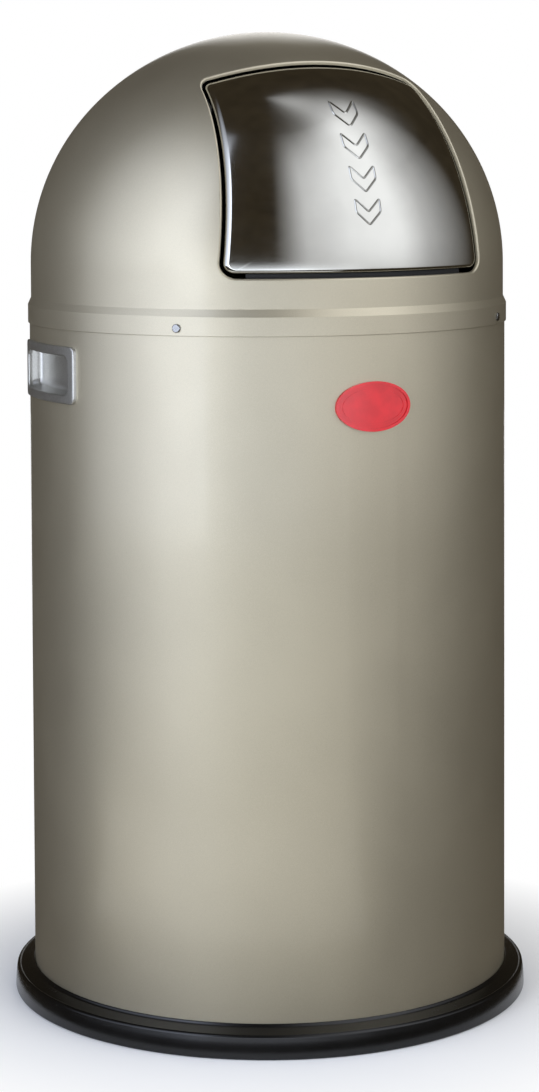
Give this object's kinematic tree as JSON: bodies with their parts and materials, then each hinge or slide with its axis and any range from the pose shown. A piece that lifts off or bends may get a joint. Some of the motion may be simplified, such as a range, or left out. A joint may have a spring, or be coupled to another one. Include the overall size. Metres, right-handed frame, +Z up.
{
  "type": "push-flap waste bin",
  "caption": "Round steel waste bin with a domed lift-off hood, a sprung push flap, side grips, a soft base ring and a lift-out liner.",
  "frame": {"origin": "middle of the base, on the surface the bin stands on", "axes": "+Z up along the bin's axis; the flap faces -Y; +X is to the right of someone facing the flap"},
  "size_m": [0.4057, 0.4058, 0.755],
  "materials": {
    "drum_paint": "satin metallic champagne-grey paint on sheet steel",
    "hood_paint": "satin metallic champagne-grey paint on sheet steel",
    "ring_rubber": "semi-gloss black soft moulding",
    "grip_plastic": "satin silver-grey moulding",
    "zinc_steel": "zinc-plated pressed steel",
    "screw_steel": "bright plated steel",
    "badge_enamel": "gloss red enamel",
    "collar_plastic": "black moulding",
    "bush_plastic": "natural nylon",
    "buffer_rubber": "black rubber",
    "flap_steel": "polished stainless steel",
    "axle_steel": "bright drawn steel",
    "spring_steel": "oiled spring steel",
    "galvanised": "galvanised sheet with a faint spangle",
    "bail_plastic": "black moulded sleeve"
  },
  "bodies": {
    "drum": {"body_shell": "drum_paint", "body_floor": "drum_paint", "base_ring": "ring_rubber", "grip_left": "grip_plastic", "grip_right": "grip_plastic", "grip_plate_left": "zinc_steel", "grip_plate_right": "zinc_steel", "grip_screws": "screw_steel", "badge": "badge_enamel", "badge_clips": "screw_steel"},
    "lid": {"hood": "hood_paint", "lid_collar": "collar_plastic", "lid_screws": "screw_steel", "hinge_bracket_left": "zinc_steel", "hinge_bracket_right": "zinc_steel", "hinge_bush_left": "bush_plastic", "hinge_bush_right": "bush_plastic", "flap_buffers": "buffer_rubber"},
    "flap": {"flap_skin": "flap_steel", "flap_arm_left": "zinc_steel", "flap_arm_right": "zinc_steel", "flap_axle": "axle_steel", "axle_clips": "spring_steel", "flap_spring_left": "spring_steel", "flap_spring_right": "spring_steel"},
    "liner": {"liner_shell": "galvanised", "liner_floor": "galvanised", "liner_ear_left": "galvanised", "liner_ear_right": "galvanised", "liner_rivets": "screw_steel"},
    "bail": {"bail_wire": "axle_steel", "bail_grip": "bail_plastic"}
  },
  "joints": [
    {"name": "lid_lift", "type": "slide", "parent": "drum", "child": "lid", "axis": [0, 0, 1], "range_m": [0, 0.3]},
    {"name": "flap_push", "type": "hinge", "parent": "lid", "child": "flap", "pos_m": [0, -0.07525, 0.69442], "axis": [1, 0, 0], "range_deg": [0, 60], "stiffness_Nm_per_rad": 0.3, "springref_deg": -68.75, "deforming": ["flap_spring_left", "flap_spring_right"]},
    {"name": "liner_lift", "type": "slide", "parent": "drum", "child": "liner", "axis": [0, 0, 1], "range_m": [0, 0.05]},
    {"name": "bail_swing", "type": "hinge", "parent": "liner", "child": "bail", "pos_m": [0, 0, 0.488], "axis": [1, 0, 0], "range_deg": [0, 180]}
  ]
}
